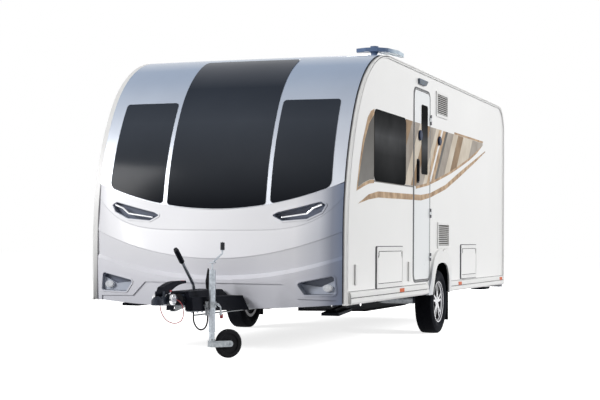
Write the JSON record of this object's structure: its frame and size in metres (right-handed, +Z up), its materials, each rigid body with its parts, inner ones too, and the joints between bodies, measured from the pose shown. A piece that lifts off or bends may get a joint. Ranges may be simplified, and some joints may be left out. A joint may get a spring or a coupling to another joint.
{
  "type": "travel caravan",
  "caption": "Single-axle touring caravan with curved front, tinted windows, entry door, lockers, chassis, jockey wheel and coupling.",
  "frame": {"origin": "on the ground under the middle of the overall length and width", "axes": "+Z up, -Y towards the coupling, +X towards the nearside with the entry door"},
  "size_m": [2.285, 7.37, 2.623],
  "materials": {
    "white_panel": "smooth white sandwich panel skin",
    "silver_moulding": "silver blue metallic lacquer",
    "grey_moulding": "pale grey metallic moulding",
    "tinted_acrylic": "dark tinted acrylic",
    "white_trim": "white moulded trim",
    "floor_board": "bonded floor, dark sealed underside",
    "galvanised_steel": "galvanised steel",
    "chrome_bar": "bright chrome",
    "black_plastic": "black moulded plastic",
    "clear_lamp": "clear lamp lens",
    "amber_lamp": "amber lens",
    "red_lamp": "red lamp lens",
    "tyre": "black tyre rubber",
    "alloy": "silver and black alloy",
    "cast_black": "black coated casting",
    "rubber": "black rubber",
    "red_cable": "red sheathed cable",
    "smoke_dome": "translucent roof dome"
  },
  "bodies": {
    "caravan": {"a_frame": "galvanised_steel", "a_frame_cover": "black_plastic", "awning_rails": "white_trim", "axle_tube": "galvanised_steel", "bellows": "rubber", "body_windows": "tinted_acrylic", "brake_rod": "galvanised_steel", "chassis_members": "galvanised_steel", "coupling_head": "cast_black", "cross_members": "galvanised_steel", "door_hinges_and_catch": "black_plastic", "electric_lead": "rubber", "electric_plug": "black_plastic", "floor_panel": "floor_board", "fridge_vents": "white_trim", "front_grab_bars": "chrome_bar", "front_lamps": "clear_lamp", "front_panel_lower": "grey_moulding", "front_panel_upper": "silver_moulding", "front_recess_trays": "grey_moulding", "front_windows": "tinted_acrylic", "hatch_frames": "white_trim", "jockey_clamp": "galvanised_steel", "jockey_outer_tube": "galvanised_steel", "mudflaps": "rubber", "overrun_housing": "cast_black", "rear_bumper": "grey_moulding", "rear_lamps": "red_lamp", "rear_panel": "white_panel", "roof_aerial": "silver_moulding", "roof_lights_and_vents": "smoke_dome", "roof_panel": "white_panel", "safety_cable": "red_cable", "side_lamps": "amber_lamp", "side_skirts": "white_trim", "side_wall_nearside": "white_panel", "side_wall_offside": "white_panel", "steady_brackets": "galvanised_steel", "suspension_arms": "cast_black", "wheel_arch_trims": "white_trim", "wheel_boxes": "black_plastic"},
    "entry_door": {"entry_door": "white_panel", "door_window": "tinted_acrylic", "door_handle_and_knob": "black_plastic"},
    "service_locker_flap": {"service_locker_flap": "white_panel"},
    "rear_hatch_flap": {"rear_hatch_flap": "white_panel"},
    "wheel_nearside": {"tyre_nearside": "tyre", "wheel_nearside": "alloy"},
    "wheel_offside": {"tyre_offside": "tyre", "wheel_offside": "alloy"},
    "coupling_lever": {"coupling_lever": "black_plastic"},
    "handbrake_lever": {"handbrake_lever": "galvanised_steel"},
    "jockey_leg": {"jockey_inner_tube": "galvanised_steel"},
    "jockey_caster": {"jockey_fork": "galvanised_steel"},
    "jockey_wheel": {"jockey_wheel": "rubber"},
    "steady_front_nearside": {"steady_front_nearside": "galvanised_steel"},
    "steady_front_offside": {"steady_front_offside": "galvanised_steel"},
    "steady_rear_nearside": {"steady_rear_nearside": "galvanised_steel"},
    "steady_rear_offside": {"steady_rear_offside": "galvanised_steel"}
  },
  "joints": [
    {"name": "door_hinge", "type": "hinge", "parent": "caravan", "child": "entry_door", "pos_m": [1.128, 0.08, 1.4], "axis": [0, 0, 1], "range_deg": [0, 165]},
    {"name": "service_locker_hinge", "type": "hinge", "parent": "caravan", "child": "service_locker_flap", "pos_m": [1.126, -1.303, 0.553], "axis": [0, 1, 0], "range_deg": [0, 110]},
    {"name": "rear_hatch_hinge", "type": "hinge", "parent": "caravan", "child": "rear_hatch_flap", "pos_m": [1.126, 1.774, 0.564], "axis": [0, 1, 0], "range_deg": [0, 110]},
    {"name": "wheel_nearside_spin", "type": "hinge", "parent": "caravan", "child": "wheel_nearside", "pos_m": [1.01, 0.556, 0.314], "axis": [1, 0, 0], "continuous": true},
    {"name": "wheel_offside_spin", "type": "hinge", "parent": "caravan", "child": "wheel_offside", "pos_m": [-1.01, 0.556, 0.314], "axis": [1, 0, 0], "continuous": true},
    {"name": "coupling_lever_hinge", "type": "hinge", "parent": "caravan", "child": "coupling_lever", "pos_m": [0, -3.598, 0.518], "axis": [1, 0, 0], "range_deg": [0, 50]},
    {"name": "handbrake_hinge", "type": "hinge", "parent": "caravan", "child": "handbrake_lever", "pos_m": [-0.06, -2.838, 0.488], "axis": [1, 0, 0], "range_deg": [-40, 30]},
    {"name": "jockey_jack", "type": "slide", "parent": "caravan", "child": "jockey_leg", "axis": [0, 0, 1], "range_m": [0, 0.05]},
    {"name": "jockey_swivel", "type": "hinge", "parent": "jockey_leg", "child": "jockey_caster", "pos_m": [0.205, -3.093, 0.12], "axis": [0, 0, 1], "continuous": true},
    {"name": "jockey_wheel_spin", "type": "hinge", "parent": "jockey_caster", "child": "jockey_wheel", "pos_m": [0.29719, -2.98238, 0.112], "axis": [0.7682, -0.6402, 0], "continuous": true},
    {"name": "steady_front_nearside_hinge", "type": "hinge", "parent": "caravan", "child": "steady_front_nearside", "pos_m": [0.9, -1.7, 0.383], "axis": [1, 0, 0], "range_deg": [-4, 24]},
    {"name": "steady_front_offside_hinge", "type": "hinge", "parent": "caravan", "child": "steady_front_offside", "pos_m": [-0.9, -1.7, 0.383], "axis": [1, 0, 0], "range_deg": [0, 28]},
    {"name": "steady_rear_nearside_hinge", "type": "hinge", "parent": "caravan", "child": "steady_rear_nearside", "pos_m": [0.9, 2.95, 0.383], "axis": [-1, 0, 0], "range_deg": [0, 28]},
    {"name": "steady_rear_offside_hinge", "type": "hinge", "parent": "caravan", "child": "steady_rear_offside", "pos_m": [-0.9, 2.95, 0.383], "axis": [-1, 0, 0], "range_deg": [0, 28]}
  ]
}
